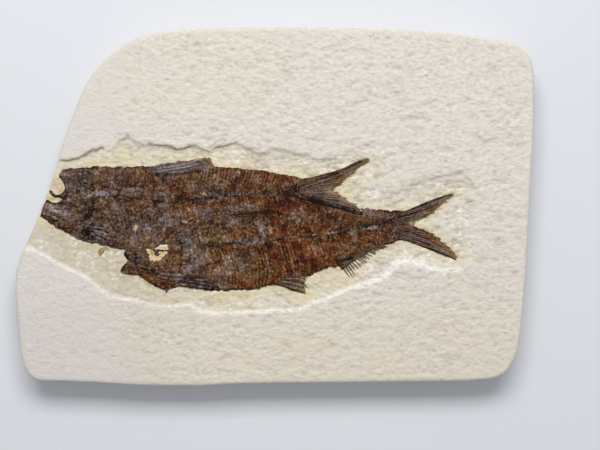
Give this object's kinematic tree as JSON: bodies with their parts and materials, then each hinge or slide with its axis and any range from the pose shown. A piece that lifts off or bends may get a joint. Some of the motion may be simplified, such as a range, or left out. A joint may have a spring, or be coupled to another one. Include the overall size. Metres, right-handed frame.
{
  "type": "fossil fish plate",
  "caption": "Pale limestone slab lying on its flat back, with two overlapping fossil fishes in thin brown relief in a shallow basin on its face.",
  "frame": {"origin": "middle of the bounding box on the surface that the flat back rests on", "axes": "+X towards the fishes' tails, +Y towards their backs, +Z out of the fossil face"},
  "size_m": [0.1558, 0.1077, 0.0128],
  "materials": {
    "limestone": "matt pecked cream limestone",
    "upper_fish_bone": "dark brown fossil bone and scale with a slight sheen, greyer on the head and fins",
    "lower_fish_bone": "dark brown fossil bone and scale with a slight sheen, rusty along the flank"
  },
  "bodies": {
    "root": {"slab": "limestone", "upper_fish": "upper_fish_bone", "lower_fish": "lower_fish_bone"}
  },
  "joints": []
}
